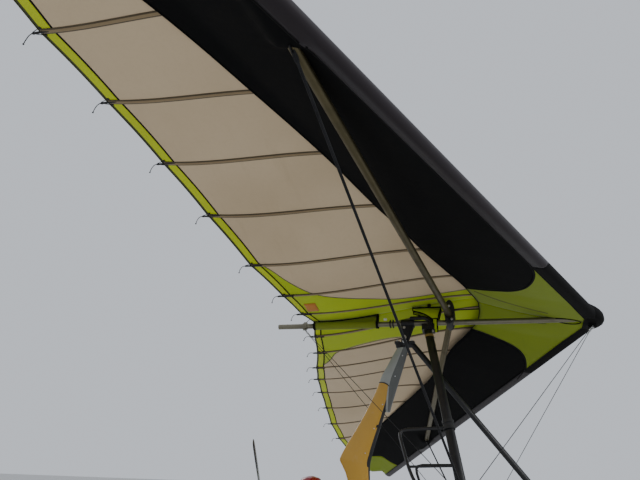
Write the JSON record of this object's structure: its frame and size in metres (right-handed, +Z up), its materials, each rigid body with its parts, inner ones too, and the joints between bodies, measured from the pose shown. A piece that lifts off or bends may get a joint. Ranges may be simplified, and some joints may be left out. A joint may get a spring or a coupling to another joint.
{
  "type": "two-seat weight-shift microlight with a flexwing",
  "caption": "Powered hang glider: a cable-braced fabric flexwing hung on a three-wheeled carriage, its wing free to pitch and roll, with steering fork and pusher propeller.",
  "frame": {"origin": "on the floor, under the middle of the whole aircraft; the carriage's own middle plane is X = 0", "axes": "+X towards the port wing tip, -Y the way the nose looks, +Z up; metres"},
  "size_m": [9.7855, 3.7071, 4.0872],
  "materials": {
    "sail_cloth": "matte",
    "lime_cloth": "matte",
    "bronze_tube": "satin",
    "black_tube": "satin",
    "black_metal": "satin",
    "black_plastic": "matte",
    "steel_cable": "satin",
    "yellow_gel_coat": "gloss",
    "grey_gel_coat": "gloss",
    "bare_aluminium": "satin",
    "cast_aluminium": "matte",
    "tyre_rubber": "matte",
    "seat_fabric": "matte",
    "tank_plastic": "satin",
    "red_plastic": "gloss",
    "radiator_core": "matte",
    "exhaust_steel": "satin",
    "clear_screen": "gloss"
  },
  "bodies": {
    "carriage": {"mast": "black_tube", "mast_fairing_lower": "yellow_gel_coat", "mast_fairing_upper": "grey_gel_coat", "front_strut": "black_tube", "chassis_beam": "bare_aluminium", "gear_leg_port": "black_tube", "gear_leg_starboard": "black_tube", "seat_frame": "black_tube", "seat_front": "seat_fabric", "seat_rear": "seat_fabric", "fuel_tank": "tank_plastic", "engine_cradle": "black_tube", "engine": "cast_aluminium", "air_filter": "red_plastic", "radiator": "radiator_core", "exhaust": "exhaust_steel", "pod": "yellow_gel_coat", "instrument_panel": "black_plastic", "windscreen": "clear_screen", "foot_bar": "bare_aluminium"},
    "hang_block": {"hang_block": "black_metal"},
    "wing": {"sail_port": "sail_cloth", "sail_starboard": "sail_cloth", "nose_cap": "black_plastic", "keel_tube": "bronze_tube", "keel_pocket": "lime_cloth", "crossbar_port": "bronze_tube", "crossbar_starboard": "bronze_tube", "crossbar_joint": "black_plastic", "apex_bracket": "black_metal", "upright_port": "black_tube", "upright_starboard": "black_tube", "base_bar": "black_tube", "training_bar_port": "black_tube", "training_bar_starboard": "black_tube", "king_post": "black_tube", "top_wire_front": "steel_cable", "top_wire_rear": "steel_cable", "landing_wire_port": "steel_cable", "nose_wire_port": "steel_cable", "tail_wire_port": "steel_cable", "flying_wire_port": "steel_cable", "landing_wire_starboard": "steel_cable", "nose_wire_starboard": "steel_cable", "tail_wire_starboard": "steel_cable", "flying_wire_starboard": "steel_cable"},
    "fork": {"fork": "black_metal", "front_mudguard": "yellow_gel_coat"},
    "front_wheel": {"front_wheel_tyre": "tyre_rubber", "front_wheel_rim": "bare_aluminium"},
    "port_wheel": {"port_wheel_tyre": "tyre_rubber", "port_wheel_rim": "bare_aluminium"},
    "starboard_wheel": {"starboard_wheel_tyre": "tyre_rubber", "starboard_wheel_rim": "bare_aluminium"},
    "propeller": {"propeller": "black_plastic"}
  },
  "joints": [
    {"name": "wing_pitch", "type": "hinge", "parent": "carriage", "child": "hang_block", "pos_m": [0, 0.35, 2.75], "axis": [1, 0, 0], "range_deg": [-18, 12]},
    {"name": "wing_roll", "type": "hinge", "parent": "hang_block", "child": "wing", "pos_m": [0, 0.35, 2.916], "axis": [0, 1, 0.0079], "range_deg": [-32.4, 7.6]},
    {"name": "steering", "type": "hinge", "parent": "carriage", "child": "fork", "pos_m": [0, -1.59, 0.47], "axis": [0, 0.2756, 0.9613], "range_deg": [-25, 25]},
    {"name": "front_wheel_axle", "type": "hinge", "parent": "fork", "child": "front_wheel", "pos_m": [0, -1.67, 0.175], "axis": [1, 0, 0], "continuous": true},
    {"name": "port_wheel_axle", "type": "hinge", "parent": "carriage", "child": "port_wheel", "pos_m": [0.78, 0.95, 0.2], "axis": [1, 0, 0], "continuous": true},
    {"name": "starboard_wheel_axle", "type": "hinge", "parent": "carriage", "child": "starboard_wheel", "pos_m": [-0.78, 0.95, 0.2], "axis": [1, 0, 0], "continuous": true},
    {"name": "propeller_shaft", "type": "hinge", "parent": "carriage", "child": "propeller", "pos_m": [0, 1.565, 1.15], "axis": [0, 1, 0], "continuous": true}
  ]
}
